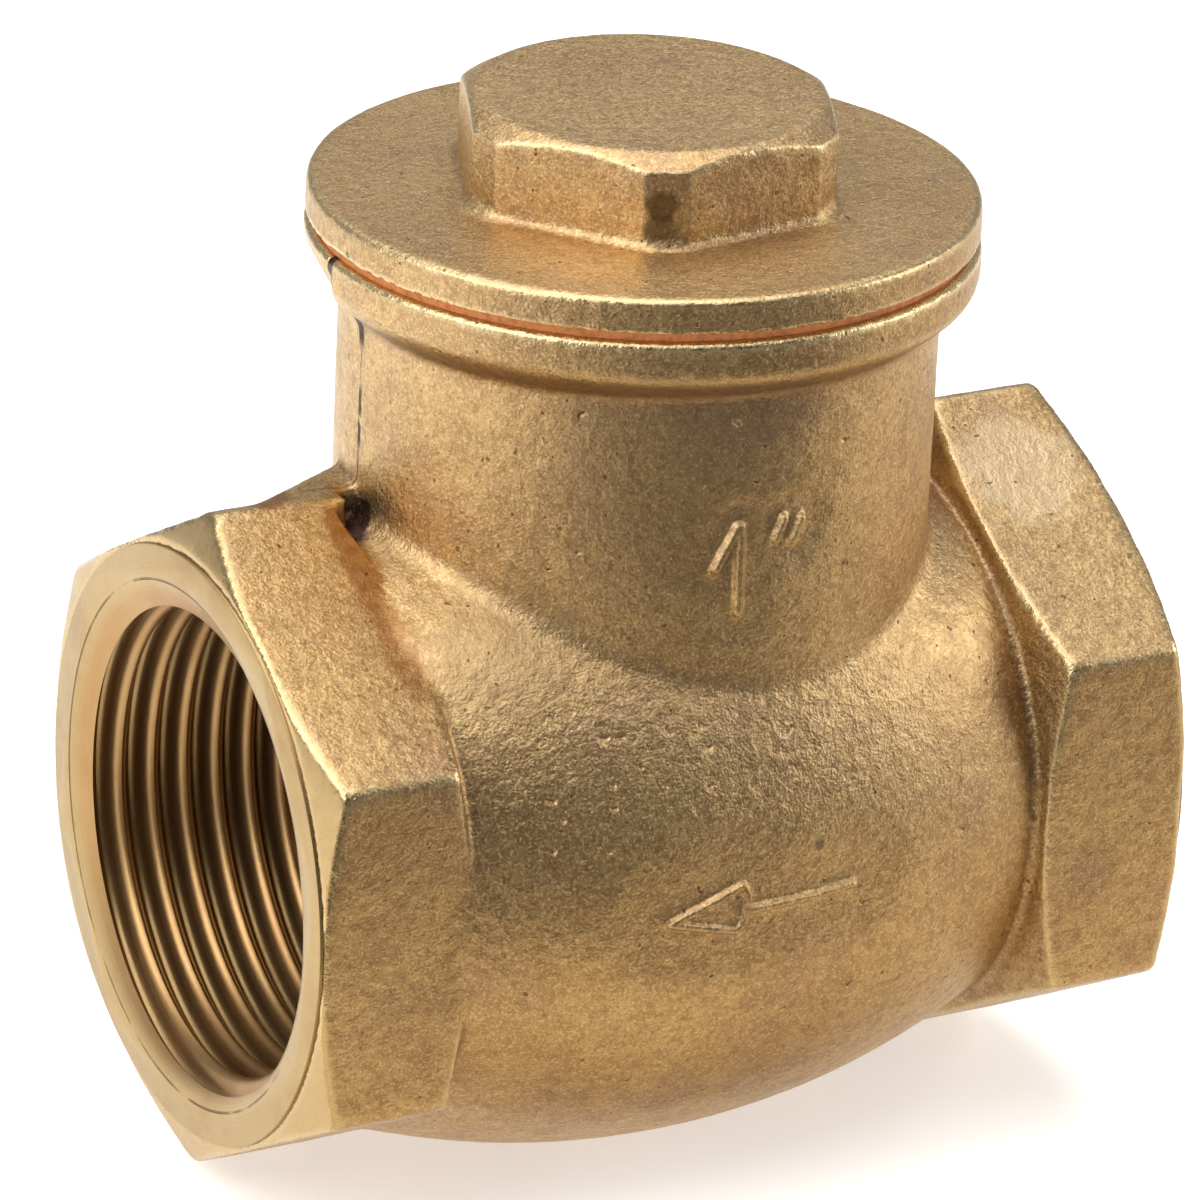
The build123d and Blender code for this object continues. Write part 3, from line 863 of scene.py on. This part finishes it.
ARROW_HEAD = ((-39.4, 0.2), (-34.5, 2.1), (-34.1, 1.4), (-34.3, -0.2), (-34.8, -0.9))
MARKS = (
    CastMark(
        "flow_arrow",
        (ARROW_HEAD + ARROW_HEAD[:1], ((-34.1, 0.4), (-29.2, 0.5), (-26.3, 0.7))),
        height=0.38,
        width=0.9,
        outline=ARROW_HEAD,
        dip=0.37,
    ),
    CastMark(
        "size_numeral",
        (
            ((-35.1, 21.8), (-33.8, 24.5)),
            ((-33.6, 24.5), (-33.55, 18.8)),
            ((-30.65, 24.7), (-31.15, 23.4)),
            ((-29.4, 24.5), (-30.0, 23.2)),
        ),
        height=0.42,
        width=1.0,
        dip=0.2,
        dip_reach=2.5,
    ),
    scattered_nicks(7, 14, (-47, 4), (-30, 13)),
    scattered_nicks(11, 10, (-45, -14), (-16, 12)),
    scattered_nicks(5, 5, (-44, 17), (-22, 32)),
)


@dataclass
class CastingSkin:
    """The outer form of a casting: a CAD node's shape with soft cast edges and an uneven surface.

    Attributes:
        node: The CAD node that it stands for.
        name: The piece's name.
        body: What it rides on.
        finish: Its finish.
        sharp: Gives 1 on machined places that stay crisp.
        tuck: Moves the points that machined pieces cover in behind them, and trims corners.
        voxel: The size of the mesh's cells.
        softening: How many rounds of smoothing the cast surface gets.
        lump_depth: How uneven the cast surface is.
        most_triangles: What the finished piece may have.
        marks: What is cast into it.
    """

    node: str
    name: str
    body: Body
    finish: CastBrass
    sharp: Callable[[np.ndarray], np.ndarray]
    tuck: Callable[[np.ndarray], np.ndarray]
    marks: tuple[CastMark, ...] = ()
    voxel: float = 0.30
    softening: int = 5
    lump_depth: float = 0.07
    most_triangles: int = 185_000
    piece: bpy.types.Object = field(init=False)

    def build(self) -> None:
        """Remeshes the copy finely, softens what is cast, and makes it uneven."""
        self.piece = merged_copy(self.node, self.name)
        cells = {"mode": "VOXEL", "voxel_size": self.voxel * MM}
        apply_modifier(self.piece, "REMESH", use_smooth_shade=True, **cells)
        mesh = self.piece.data
        set_points(mesh, self.tuck(points_of(mesh)))
        weight_group(self.piece, "cast", 1 - self.sharp(points_of(mesh)))
        rounds = self.softening
        apply_modifier(self.piece, "SMOOTH", factor=0.5, iterations=rounds, vertex_group="cast")
        for mark in self.marks:
            mark.cast(self.piece)
        self.mark_wear()
        self.mark_machined()
        for size, share in ((2.6, 0.55), (0.9, 0.45)):
            self.roughen(size, self.lump_depth * share)
        triangles = sum(len(face.vertices) - 2 for face in self.piece.data.polygons)
        LOG.info("%s: %d triangles before thinning", self.name, triangles)
        if triangles > self.most_triangles:
            apply_modifier(self.piece, "DECIMATE", ratio=self.most_triangles / triangles)
        smooth_by_angle(self.piece, 50)

    def mark_machined(self) -> None:
        """Stores how much of each point lies on a hexagon's turned end, or under the cap's flange."""
        mesh = self.piece.data
        points = points_of(mesh)
        from_mouth = np.minimum(points[:, 0] - OUTLET_X, INLET_X - points[:, 0])
        turned = ramp(from_mouth, 4.5, 4.0) * ramp(np.abs(normals_of(mesh)[:, 0]), 0.30, 0.42)
        reach = np.hypot(points[:, 0] - NECK_X, points[:, 1])
        covered = self.sharp(points) * (reach < UNDER_FLANGE)
        machined = softened(mesh, np.maximum(turned, covered)[:, None], 5)
        set_attribute(mesh, "machined", machined[:, 0])

    def mark_wear(self) -> None:
        """Stores how far each point stands out of, or lies in, its surroundings."""
        mesh = self.piece.data
        points = points_of(mesh)
        normals = normals_of(mesh)
        near = softened(mesh, points, 6)
        far = softened(mesh, near, 18)
        # The first marks what stands out, for rubbed edges; the second marks hollows, where the finish
        # paints shade.
        for name, around, depth in (("worn", near, 0.10), ("hollow_shade", far, -0.35)):
            stands_out = ((points - around) * normals).sum(1)
            set_attribute(mesh, name, np.clip(stands_out / depth, 0, 1))

    def roughen(self, size: float, depth: float) -> None:
        """Presses an uneven pattern into the cast surface.

        Args:
            size: About how wide a lump is.
            depth: How deep the pattern goes.
        """
        pattern = bpy.data.textures.new(f"{self.name}_lumps", "CLOUDS")
        pattern.noise_scale = size * MM
        pattern.noise_depth = 2
        apply_modifier(
            self.piece,
            "DISPLACE",
            texture=pattern,
            texture_coords="LOCAL",
            strength=depth * MM,
            mid_level=1.0,
            vertex_group="cast",
        )

    def dress(self, material: bpy.types.Material) -> None:
        """Dresses the skin and lets it stand for its CAD node."""
        dress(self.piece, material)
        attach(self.piece, self.body.value)
        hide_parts(self.node)


@dataclass
class PortThread:
    """The machined mouth of a port: end face, countersink and pipe thread.

    Attributes:
        name: The piece's name.
        mouth_x: Where the mouth is.
        inward: The direction into the valve along X.
        face_radius: Outer edge of the machined face.
        shoulder: From the mouth to where the blank gets narrower.
        shank_radius: Of its narrower end.
        rim_radius: Where the countersink meets the face.
        crest_radius: Of the thread.
        root_radius: Of the thread.
        pitch: Of the thread.
        length: From the mouth to the thread's end.
        countersink_angle: Between the countersink and the face, in degrees.
        profile_steps: How many points make one turn's section.
        turn_steps: How many steps make one turn.
        relief_start: From the mouth to where the ring leaves room for the opened disc's nut, or 0.
        relief_size: That room's width and height.
    """

    name: str
    mouth_x: float
    inward: int
    face_radius: float = FACE_RADIUS
    shoulder: float = 9.0
    shank_radius: float = 17.4
    rim_radius: float = RIM_RADIUS
    crest_radius: float = 15.15
    root_radius: float = 16.6
    pitch: float = 2.309
    length: float = 13.8
    countersink_angle: float = 30.0
    profile_steps: int = 14
    turn_steps: int = 128
    relief_start: float = 0.0
    relief_size: tuple[float, float] = (14.0, 8.0)
    piece: bpy.types.Object = field(init=False)

    def section(self, share: float) -> float:
        """Gives the thread's radius at a share of its pitch, with straight flanks."""
        wave = math.cos(math.tau * share)
        shaped = math.copysign(abs(wave) ** 0.72, wave)
        middle = (self.crest_radius + self.root_radius) / 2
        return middle + (self.root_radius - self.crest_radius) / 2 * shaped

    def tap(self) -> bpy.types.Object:
        """Makes the solid that the tap sweeps, longer than the port at both ends."""
        turns = math.ceil(self.length / self.pitch) + 4
        start = self.mouth_x - self.inward * 2 * self.pitch
        step = self.inward * self.pitch / self.profile_steps
        bpy.ops.mesh.primitive_plane_add(size=MM, location=(0, 0, 0))
        tap = newest(f"{self.name}_tap")
        edit(tap)
        bpy.ops.mesh.merge(type="CENTER")
        bpy.ops.transform.translate(value=(start * MM, 0, self.section(0) * MM))
        for place in range(self.profile_steps):
            before, after = place / self.profile_steps, (place + 1) / self.profile_steps
            move = (step * MM, 0, (self.section(after) - self.section(before)) * MM)
            bpy.ops.mesh.extrude_region_move(TRANSFORM_OT_translate={"value": move})
        leave_edit()
        apply_modifier(
            tap,
            "SCREW",
            axis="X",
            angle=math.tau,
            screw_offset=self.inward * self.pitch * MM,
            iterations=turns,
            steps=self.turn_steps,
            render_steps=self.turn_steps,
            use_merge_vertices=True,
            merge_threshold=0.001 * MM,
        )
        inner_end = self.mouth_x + self.inward * (self.length + 2)
        for end, outward in ((self.mouth_x - self.inward, -1), (inner_end, 1)):
            edit(tap)
            bpy.ops.mesh.bisect(
                plane_co=(end * MM, 0, 0),
                plane_no=(self.inward * outward, 0, 0),
                use_fill=True,
                clear_outer=True,
                threshold=0.00001 * MM,
            )
            leave_edit()
        edit(tap)
        bpy.ops.mesh.remove_doubles(threshold=0.001 * MM)
        bpy.ops.mesh.normals_make_consistent(inside=False)
        leave_edit()
        return tap

    def cone(self) -> bpy.types.Object:
        """Makes the countersink's solid, from outside the mouth to inside the thread's crest."""
        slope = 1 / math.tan(math.radians(self.countersink_angle))
        outside, inside = 0.6, 1.6
        bpy.ops.mesh.primitive_cone_add(
            vertices=self.turn_steps * 2,
            radius1=(self.rim_radius + outside * slope) * MM,
            radius2=(self.rim_radius - inside * slope) * MM,
            depth=(outside + inside) * MM,
            location=((self.mouth_x + self.inward * (inside - outside) / 2) * MM, 0, 0),
            rotation=(0, self.inward * math.pi / 2, 0),
        )
        cone = newest(f"{self.name}_cone")
        settle(cone)
        return cone

    def relief(self) -> bpy.types.Object:
        """Makes the solid of the room that the opened disc's nut needs at the ring's inner end."""
        reach = self.length - self.relief_start + 1.0
        middle = self.mouth_x + self.inward * (self.relief_start + reach / 2)
        width, height = self.relief_size
        bpy.ops.mesh.primitive_cube_add(
            size=1.0,
            location=(middle * MM, 0, self.root_radius * MM),
            scale=(reach * MM, width * MM, height * MM),
        )
        relief = newest(f"{self.name}_relief")
        settle(relief)
        return relief

    def build(self) -> None:
        """Turns the blank, bevels it, taps it, countersinks it and gives the nut room."""
        bpy.ops.mesh.primitive_cylinder_add(
            vertices=self.turn_steps * 2,
            radius=self.face_radius * MM,
            depth=self.shoulder * MM,
            location=((self.mouth_x + self.inward * self.shoulder / 2) * MM, 0, 0),
            rotation=(0, math.pi / 2, 0),
        )
        self.piece = newest(self.name)
        settle(self.piece)
        inner_end = self.mouth_x + self.inward * self.shoulder
        edit_faces(self.piece, np.abs(middles_of(self.piece.data)[:, 0] - inner_end) < 0.01)
        bpy.ops.mesh.inset(thickness=(self.face_radius - self.shank_radius) * MM)
        step = self.inward * (self.length - self.shoulder) * MM
        bpy.ops.mesh.extrude_region_move(TRANSFORM_OT_translate={"value": (step, 0, 0)})
        leave_edit()
        apply_modifier(self.piece, "BEVEL", width=0.12 * MM, segments=2, limit_method="ANGLE")
        cutters = [self.tap(), self.cone()]
        if self.relief_start:
            cutters.append(self.relief())
        for cutter in cutters:
            cut = {"operation": "DIFFERENCE", "object": cutter, "solver": "EXACT"}
            apply_modifier(self.piece, "BOOLEAN", **cut)
            remove(cutter)
        smooth_by_angle(self.piece, 32)

    def dress(self, material: bpy.types.Material) -> None:
        """Dresses the port and fixes it to the casting."""
        dress(self.piece, material)
        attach(self.piece, Body.VALVE.value)


# Stage


@dataclass(frozen=True)
class PhotoCamera:
    """The camera that takes the valve as the photograph shows it.

    Attributes:
        azimuth: Of the view, in degrees; 0 looks along +Y.
        elevation: Above the horizon, in degrees.
        roll: Of the picture, in degrees.
        distance: From the aimed point.
        aim_right: The aimed point, to the right of the neck's axis.
        aim_up: The aimed point above the flow axis.
        focal_pixels: The focal length in pixels of the 1200-pixel picture.
        picture: The picture's side in pixels.
    """

    azimuth: float = -29.167
    elevation: float = 22.874
    roll: float = 2.683
    distance: float = 555.8
    aim_right: float = -1.076
    aim_up: float = 10.89
    focal_pixels: float = 8606.4
    picture: int = 1200

    def make(self) -> None:
        """Adds the camera and makes it the scene's."""
        a, e, r = (math.radians(angle) for angle in (self.azimuth, self.elevation, self.roll))
        back = Vector((math.sin(a) * math.cos(e), -math.cos(a) * math.cos(e), math.sin(e)))
        level = Vector((math.cos(a), math.sin(a), 0))
        upright = back.cross(level)
        right = level * math.cos(r) + upright * math.sin(r)
        up = upright * math.cos(r) - level * math.sin(r)
        aim = Vector((NECK_X, 0, 0)) + right * self.aim_right + up * self.aim_up
        data = bpy.data.cameras.new("photo_camera")
        data.sensor_fit = "HORIZONTAL"
        data.sensor_width = 36.0
        data.lens = self.focal_pixels * data.sensor_width / self.picture
        data.clip_start, data.clip_end = 0.01, 10.0
        camera = bpy.data.objects.new("photo_camera", data)
        bpy.context.scene.collection.objects.link(camera)
        turned = Matrix((right, up, back)).transposed().to_4x4()
        camera.matrix_world = Matrix.Translation((aim + back * self.distance) * MM) @ turned
        bpy.context.scene.camera = camera


@dataclass(frozen=True)
class SoftLight:
    """A square soft box.

    Attributes:
        name: The light's name.
        place: Where it stands.
        aim: What it points at.
        size: Its side.
        power: In watts.
        tint: Its colour.
    """

    name: str
    place: Point
    aim: Point
    size: float
    power: float
    tint: Colour = (1.0, 0.98, 0.95)

    def make(self) -> None:
        """Adds the light."""
        data = bpy.data.lights.new(self.name, "AREA")
        data.shape = "SQUARE"
        data.size = self.size * MM
        data.energy = self.power
        data.color = self.tint
        light = bpy.data.objects.new(self.name, data)
        bpy.context.scene.collection.objects.link(light)
        light.location = Vector(self.place) * MM
        toward = Vector(self.aim) - Vector(self.place)
        light.rotation_euler = toward.to_track_quat("-Z", "Y").to_euler()


@dataclass(frozen=True)
class ShadeCard:
    """A card that lies on the floor, out of sight, and shows only as a reflection in the metal.

    Attributes:
        name: The card's name.
        centre: Its middle.
        sides: Its sides along X and Y.
        shade: Its colour.
    """

    name: str
    centre: Point
    sides: tuple[float, float]
    shade: Colour

    def make(self) -> None:
        """Adds the card."""
        bpy.ops.mesh.primitive_plane_add(size=1.0, location=Vector(self.centre) * MM)
        card = newest(self.name)
        card.scale = (self.sides[0] * MM, self.sides[1] * MM, 1.0)
        settle(card)
        graph = Graph(bpy.data.materials.new(self.name))
        graph.surface(base_color=self.shade, roughness=1.0)
        dress(card, graph.owner)
        card.visible_camera = card.visible_shadow = card.visible_diffuse = False


@dataclass
class Studio:
    """The pale floor, the soft light and the white surroundings.

    Attributes:
        floor_z: Where the floor lies.
        floor_side: How wide it is.
        surroundings: How bright the surroundings are.
        front_shade: How much darker they are in front.
        front: The direction that is darker.
        lights: The soft boxes.
    """

    floor_z: float
    floor_side: float = 6000.0
    surroundings: float = 0.38
    front_shade: float = 0.87
    front: Point = (-0.25, -0.95, -0.1)
    lights: tuple[SoftLight, ...] = (
        SoftLight("key_left", (-480, -60, 360), (-31, 0, 5), 520, 2.7),
        SoftLight("top", (0, 120, 520), (-31, 0, 10), 520, 1.7),
        SoftLight("front_top", (-60, -220, 520), (-31, 0, 5), 300, 0.5),
        SoftLight("right_fill", (420, -160, 200), (-31, 0, 5), 260, 0.8),
    )

    def make(self) -> None:
        """Adds everything that isn't the valve."""
        bpy.ops.mesh.primitive_plane_add(
            size=self.floor_side * MM, location=(NECK_X * MM, 0, self.floor_z * MM)
        )
        floor = newest("floor")
        settle(floor)
        dress(floor, PalePaper().make())
        cards = (
            ShadeCard("near_card", (-60, -40, self.floor_z + 0.4), (300, 48), (0.86, 0.76, 0.60)),
            ShadeCard("front_card", (-60, -214, self.floor_z + 0.5), (500, 300), (0.045, 0.037, 0.028)),
            ShadeCard("right_card", (150, -40, self.floor_z + 0.6), (160, 200), (0.70, 0.62, 0.52)),
        )
        for part in (*cards, *self.lights):
            part.make()
        world = bpy.data.worlds.new("surroundings")
        graph = Graph(world, "Background")
        toward = graph.node("ShaderNodeTexCoord", {}, {})[0]
        pair = {0: toward, 1: self.front}
        facing = graph.node("ShaderNodeVectorMath", {"operation": "DOT_PRODUCT"}, pair)[1]
        strength = (1.0 - facing.fade(0.0, 0.9) * self.front_shade) * self.surroundings
        graph.surface(color=(1.0, 1.0, 1.0), strength=strength)
        bpy.context.scene.world = world
        bpy.context.scene.view_settings.view_transform = "Standard"


# Where the castings were machined


def body_sharp(points: np.ndarray) -> np.ndarray:
    """Gives 1 where the body was machined: its mouths, ports and the neck's top and bore."""
    across = np.hypot(points[:, 1], points[:, 2])
    from_mouth = np.minimum(points[:, 0] - OUTLET_X, INLET_X - points[:, 0])
    port = ramp(from_mouth, 14.8, 14.2) * ramp(across, *BORE_EDGE)
    face = ramp(from_mouth, 0.5, 0.3) * ramp(across, FACE_RADIUS + 0.2, FACE_RADIUS)
    neck = np.hypot(points[:, 0] - NECK_X, points[:, 1])
    top = ramp(points[:, 2], COLLAR_TOP - 0.5, COLLAR_TOP - 0.3) * ramp(neck, 21.2, 20.9)
    bore = ramp(points[:, 2], 20, 21) * ramp(neck, 17.0, 16.7)
    return np.clip(port + face + top + bore, 0, 1)


def body_tuck(points: np.ndarray) -> np.ndarray:
    """Draws the casting back from the mouths' faces and bores, which the port pieces cover."""
    across = np.hypot(points[:, 1], points[:, 2])
    for mouth, inward in ((OUTLET_X, 1), (INLET_X, -1)):
        depth = (points[:, 0] - mouth) * inward
        bore = ramp(depth, 13.5, 13.3) * ramp(across, *BORE_EDGE) * 0.45
        points[:, 1:] *= (1 + bore / across)[:, None]
        face = ramp(across, FACE_RADIUS + 0.35, FACE_RADIUS) * 0.16 + ramp(across, 19.25, 19.0) * 0.3
        points[:, 0] += inward * ramp(depth, 0.9, 0.4) * face
    return points


def cap_sharp(points: np.ndarray) -> np.ndarray:
    """Gives 1 where the cap was machined: under its flange and on its skirt."""
    return ramp(points[:, 2], GASKET_HIGH.z + 0.5, GASKET_HIGH.z + 0.3)


def cap_tuck(points: np.ndarray) -> np.ndarray:
    """Trims the head's six upright corners to narrow flats and cuts the skirt's thread."""
    flat = points[:, :2] - (NECK_X, 0)
    across = np.linalg.norm(flat, axis=1)
    turns = np.arctan2(flat[:, 1], flat[:, 0])
    under = GASKET_LOW.z - points[:, 2]
    groove = 0.5 - 0.5 * np.cos(math.tau * (under / CAP_PITCH + turns / math.tau))
    groove *= ramp(under, 0.0, 0.4) * ramp(under, CAP_THREAD_LENGTH, CAP_THREAD_LENGTH - 0.4)
    groove *= ramp(across, 15.6, 16.2)
    flat *= (1 - CAP_THREAD_DEPTH * groove / np.maximum(across, 1.0))[:, None]
    below_top = CAP_TOP - points[:, 2]
    upright = (below_top < HEAD_SIDE[1]) & (below_top > HEAD_SIDE[0])
    reach = across[upright].max()
    corners = turns[upright & (across > reach - 0.3)]
    first = math.atan2(np.sin(corners * 6).sum(), np.cos(corners * 6).sum()) / 6
    head = below_top < HEAD_HEIGHT
    for corner in range(6):
        turn = first + corner * math.pi / 3
        toward = np.array((math.cos(turn), math.sin(turn)))
        over = np.maximum(flat @ toward - (reach - CORNER_TRIM), 0)
        near_corner = head & (over < 1.5)
        flat -= np.where(near_corner, over, 0)[:, None] * toward
    points[:, :2] = flat + (NECK_X, 0)
    return points


# The whole


BODY_STAINS_AND_SHADE = (
    Patch((-31, -19, 32), 4.5, (0.24, 0.15, 0.12), 0.4),
    Patch((-28.9, -22.8, 3.9), 0.9, (0.16, 0.10, 0.10), 0.6),
    # Painted shade in the pocket between the near hexagon's rear, the belly and the web.
    Patch((-50.7, 0.2, 20.2), 3.2, POCKET_SHADE_BLACK, 0.92),
    Patch((-51.6, -1.2, 19.6), 2.4, POCKET_SHADE_BLACK, 0.92),
    # Painted shade with a reddish bounce along the near hexagon's rear top edge, where it meets the
    # belly.
    *(
        Patch((-52.9, -y, HEX_TOP_CORNER - HEX_FALL * y), 2.1, RECESS_SHADE_ORANGE, 0.85 - 0.03 * y)
        for y in np.arange(2.0, 15.0, 1.3)
    ),
    # The same painted shade where the hexagon's top meets the web.
    Patch((-56.5, 1.2, 21.6), 3.6, RECESS_SHADE_ORANGE, 0.8),
    Patch((-38, -17.5, 28), 15.0, (0.36, 0.25, 0.16), 0.33),
    # Painted shade that dims the highlight on the belly's upper part by the neck's foot.
    Patch((-46.5, -12.5, 15.5), 9.0, (0.42, 0.29, 0.15), 0.6),
    Patch((-5.5, -6, 19), 8.0, (0.78, 0.62, 0.40), 0.5),
)
CAP_DARK_SPOTS = (
    # Darker brown on the head's front corner facet.
    Patch((-36.1, -11.5, 41.6), 2.0, CORNER_BROWN, 0.6),
    Patch((-36.1, -11.5, 43.4), 1.9, CORNER_BROWN, 0.75),
)


def measure_boxes() -> None:
    """Brings the scene's placements up to date."""
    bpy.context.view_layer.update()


def dress_nodes(nodes: Iterable[str], material: bpy.types.Material) -> None:
    """Gives CAD nodes that stay as they are their finish."""
    for node in nodes:
        dress(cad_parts[node], material)


def main() -> None:
    """Builds and dresses the valve, then sets the stage."""
    logging.basicConfig(level=logging.INFO, format="%(message)s")
    cast = CastBrass("cast_brass_body", seam=True, patches=BODY_STAINS_AND_SHADE)
    cap_finish = CastBrass("cast_brass_cap", patches=CAP_DARK_SPOTS)
    skins = (
        CastingSkin("valve_body", "body_casting", Body.VALVE, cast, body_sharp, body_tuck, MARKS),
        CastingSkin("cap", "cap_casting", Body.CAP, cap_finish, cap_sharp, cap_tuck, voxel=0.24),
    )
    for skin in skins:
        skin.build()
        skin.dress(skin.finish.make())
        LOG.info("built %s", skin.name)
    machined = MachinedBrass("machined_brass", rim_radius=RIM_RADIUS).make()
    ports = (
        PortThread("outlet_mouth", OUTLET_X, 1, length=16.1, relief_start=14.3),
        PortThread("inlet_mouth", INLET_X, -1, length=14.2),
    )
    for port in ports:
        port.build()
        port.dress(machined)
        LOG.info("built %s", port.name)
    turned = MachinedBrass("turned_brass", roughness=0.36).make()
    dress_nodes(("valve_disc", "seal_plate", "disc_washer", "disc_nut"), turned)
    dress_nodes(("clapper_arm",), CastBrass("cast_brass_arm").make())
    dress_nodes(("hinge_pin", "seal_screw"), GroundSteel("ground_steel").make())
    dress_nodes(("disc_seal",), MouldedRubber("seal_rubber").make())
    dress_nodes(("cap_gasket",), PressedFibre("gasket_fibre").make())
    measure_boxes()
    Studio(floor_z=BODY_LOW.z).make()
    PhotoCamera().make()


if __name__ == "__main__":
    main()
